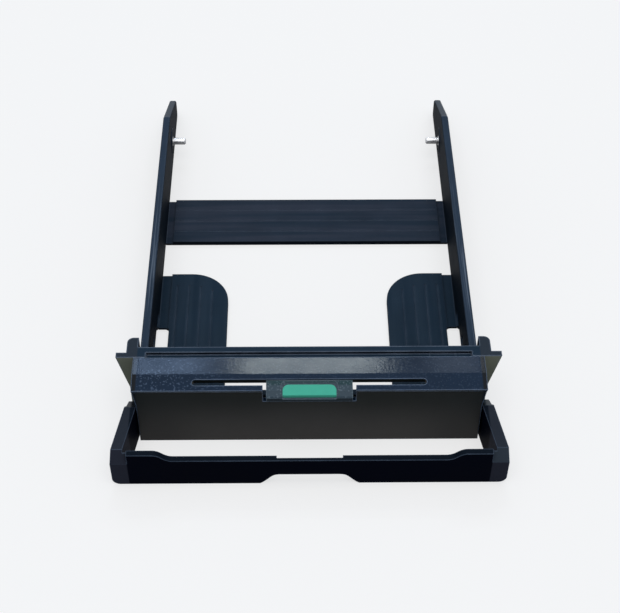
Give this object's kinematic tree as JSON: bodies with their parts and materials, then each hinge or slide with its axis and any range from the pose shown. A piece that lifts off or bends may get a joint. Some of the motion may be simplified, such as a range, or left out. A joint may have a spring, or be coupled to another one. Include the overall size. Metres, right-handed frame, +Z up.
{
  "type": "hot swap drive caddy",
  "caption": "Black plastic carrier for a 3.5-inch drive: side arms, cross brace and floor tabs behind a bezel with a swinging bail handle and a green sprung latch.",
  "frame": {"origin": "on the underside, at the foot of the bezel's front wall, midway between the side arms", "axes": "+Y from the bezel back along the side arms, which is the way the caddy slides in; +Z up from the floor; +X to the right seen from the front"},
  "size_m": [0.122, 0.179, 0.0256],
  "materials": {
    "tray_plastic": "satin, fluted plates",
    "bezel_plastic": "fine pebble",
    "handle_plastic": "satin",
    "latch_plastic": "fine pebble",
    "inlay_green": "satin",
    "pin_steel": "ground",
    "spring_steel": "drawn wire",
    "pivot_black": "black oxide",
    "stud_steel": "bright nickel"
  },
  "bodies": {
    "tray": {"tray_frame": "tray_plastic", "front_bezel": "bezel_plastic", "left_handle_pin": "pivot_black", "right_handle_pin": "pivot_black", "latch_pin": "pin_steel", "latch_spring": "spring_steel", "left_drive_pin": "stud_steel", "right_drive_pin": "stud_steel"},
    "handle": {"bail_handle": "handle_plastic"},
    "latch": {"release_latch": "latch_plastic", "latch_inlay": "inlay_green"}
  },
  "joints": [
    {"name": "handle_hinge", "type": "hinge", "parent": "tray", "child": "handle", "pos_m": [0, 0.0045, 0.0055], "axis": [-1, 0, 0], "range_deg": [0, 90]},
    {"name": "latch_rock", "type": "hinge", "parent": "tray", "child": "latch", "pos_m": [0, 0.0108, 0.0196], "axis": [1, 0, 0], "range_deg": [0, 9], "stiffness_Nm_per_rad": 0.06, "springref_deg": -6.88, "deforming": ["latch_spring"]}
  ]
}
